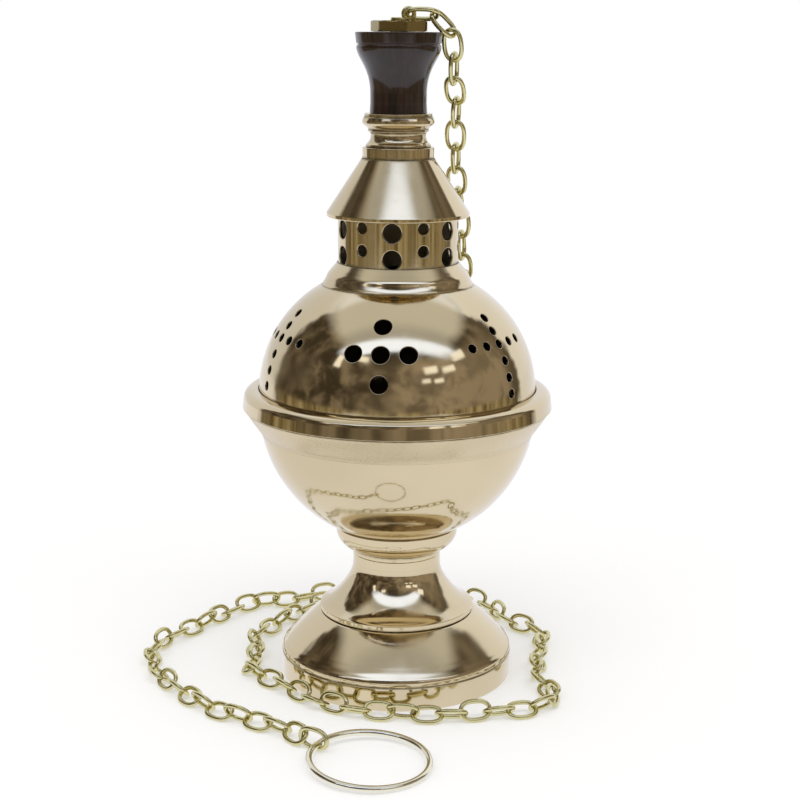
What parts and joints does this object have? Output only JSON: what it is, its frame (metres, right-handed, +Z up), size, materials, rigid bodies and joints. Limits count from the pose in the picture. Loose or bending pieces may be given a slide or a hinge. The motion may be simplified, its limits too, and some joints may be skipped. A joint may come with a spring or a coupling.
{
  "type": "censer",
  "caption": "Footed brass censer with a pierced domed lid, a lantern and conical roof, a turned wooden handle, and a single chain that ends in a ring.",
  "frame": {"origin": "on the floor at the middle of the foot, on the body's axis", "axes": "+Z up along the body, front towards -Y, the chain leaves the top towards +X"},
  "size_m": [0.1506, 0.1814, 0.2368],
  "materials": {
    "brass": "polished, lightly worn",
    "chain_brass": "bright wire, slightly tarnished",
    "nut_brass": "dull, tarnished",
    "dark_wood": "dark, glossy lacquer",
    "steel": "plain zinc-plated",
    "blackened_steel": "heat-blackened"
  },
  "bodies": {
    "bowl": {"foot_base": "brass", "foot_stem": "brass", "stem_cup": "brass", "bowl_shell": "brass", "bowl_rim": "brass", "stem_screw": "steel", "stem_washer": "steel", "stem_nut": "steel", "chain_on_floor": "chain_brass", "chain_end_link": "chain_brass"},
    "liner": {"fire_cup": "blackened_steel"},
    "swivel": {"swivel_eye": "chain_brass", "chain_link_1": "chain_brass", "chain_link_2": "chain_brass", "chain_link_3": "chain_brass", "chain_link_4": "chain_brass", "chain_hanging": "chain_brass"},
    "lid": {"lid_band": "brass", "bayonet_lug_1": "brass", "bayonet_lug_2": "brass", "bayonet_lug_3": "brass", "dome_shell": "brass", "lid_collar": "brass", "lantern_drum": "brass", "cone_roof": "brass", "ferrule_band": "brass", "neck_moulding": "brass", "wood_handle": "dark_wood", "tie_rod": "steel", "rod_washer": "steel", "rod_nut": "steel", "top_nut": "nut_brass"},
    "ring": {"end_ring": "chain_brass"}
  },
  "joints": [
    {"name": "lid_lift", "type": "slide", "parent": "bowl", "child": "swivel", "axis": [0, 0, 1], "range_m": [0, 0.07]},
    {"name": "lid_twist", "type": "hinge", "parent": "swivel", "child": "lid", "pos_m": [0, 0, 0.1], "axis": [0, 0, 1], "range_deg": [0, 25]},
    {"name": "liner_lift", "type": "slide", "parent": "bowl", "child": "liner", "axis": [0, 0, 1], "range_m": [0, 0.03]},
    {"name": "ring_flip", "type": "hinge", "parent": "bowl", "child": "ring", "pos_m": [-0.02426, -0.07277, 0.0032], "axis": [-0.5446, -0.8387, 0], "range_deg": [0, 110]}
  ]
}
